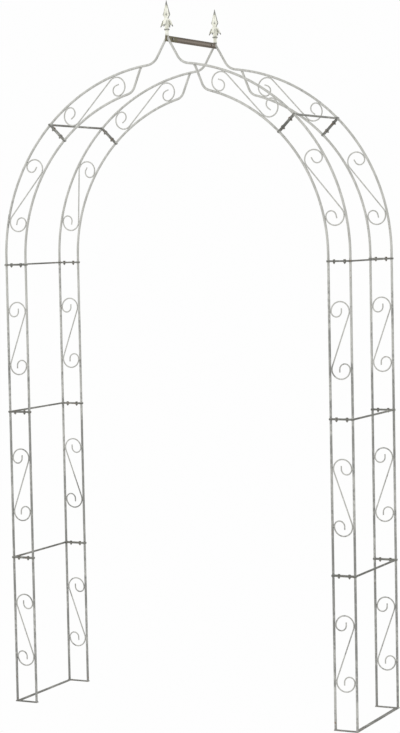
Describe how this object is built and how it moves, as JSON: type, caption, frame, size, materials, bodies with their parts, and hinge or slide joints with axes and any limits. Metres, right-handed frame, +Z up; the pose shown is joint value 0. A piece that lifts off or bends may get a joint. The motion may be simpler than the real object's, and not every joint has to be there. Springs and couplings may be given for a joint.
{
  "type": "garden arch",
  "caption": "Free-standing metal garden arch with ladder-like legs, scrolled panels, a round top drawn up to a peaked ridge and a spear finial at each end",
  "frame": {"origin": "on the ground, midway between the two legs and midway between the front and the rear", "axes": "+X across the arch to the right leg as seen from the front, +Y from the front to the rear, +Z up"},
  "size_m": [1.399, 0.452, 2.6006],
  "materials": {
    "rods": "warm grey metal with a rubbed antique cream wash, matt, slightly hammered",
    "scrolls": "paler rubbed cream wash over grey, matt",
    "bars": "darker grey flat bar, matt, worn to metal on the edges",
    "fasteners": "dull weathered steel bolts and nuts",
    "ridge": "brown bare metal with light surface rust",
    "finials": "antique cream paint over cast metal, rubbed grey on the edges"
  },
  "bodies": {
    "root": {"left_lower_front_rods": "rods", "left_lower_rear_rods": "rods", "left_lower_scrolls": "scrolls", "left_lower_bottom_bar": "bars", "left_lower_top_bar": "bars", "left_middle_front_rods": "rods", "left_middle_rear_rods": "rods", "left_middle_scrolls": "scrolls", "left_middle_bottom_bar": "bars", "left_middle_top_bar": "bars", "left_upper_front_rods": "rods", "left_upper_rear_rods": "rods", "left_upper_scrolls": "scrolls", "left_upper_bottom_bar": "bars", "left_upper_top_bar": "bars", "left_haunch_front_rods": "rods", "left_haunch_rear_rods": "rods", "left_haunch_scrolls": "scrolls", "left_haunch_bottom_bar": "bars", "left_haunch_top_bar": "bars", "left_crown_front_rods": "rods", "left_crown_rear_rods": "rods", "left_crown_scrolls": "scrolls", "left_crown_bottom_bar": "bars", "left_ridge_bar": "ridge", "left_joint_bolts": "fasteners", "left_joint_nuts": "fasteners", "right_lower_front_rods": "rods", "right_lower_rear_rods": "rods", "right_lower_scrolls": "scrolls", "right_lower_bottom_bar": "bars", "right_lower_top_bar": "bars", "right_middle_front_rods": "rods", "right_middle_rear_rods": "rods", "right_middle_scrolls": "scrolls", "right_middle_bottom_bar": "bars", "right_middle_top_bar": "bars", "right_upper_front_rods": "rods", "right_upper_rear_rods": "rods", "right_upper_scrolls": "scrolls", "right_upper_bottom_bar": "bars", "right_upper_top_bar": "bars", "right_haunch_front_rods": "rods", "right_haunch_rear_rods": "rods", "right_haunch_scrolls": "scrolls", "right_haunch_bottom_bar": "bars", "right_haunch_top_bar": "bars", "right_crown_front_rods": "rods", "right_crown_rear_rods": "rods", "right_crown_scrolls": "scrolls", "right_crown_bottom_bar": "bars", "right_ridge_bar": "ridge", "right_joint_bolts": "fasteners", "right_joint_nuts": "fasteners", "ridge_bolts": "fasteners", "ridge_nuts": "fasteners", "front_finial": "finials", "rear_finial": "finials"}
  },
  "joints": []
}
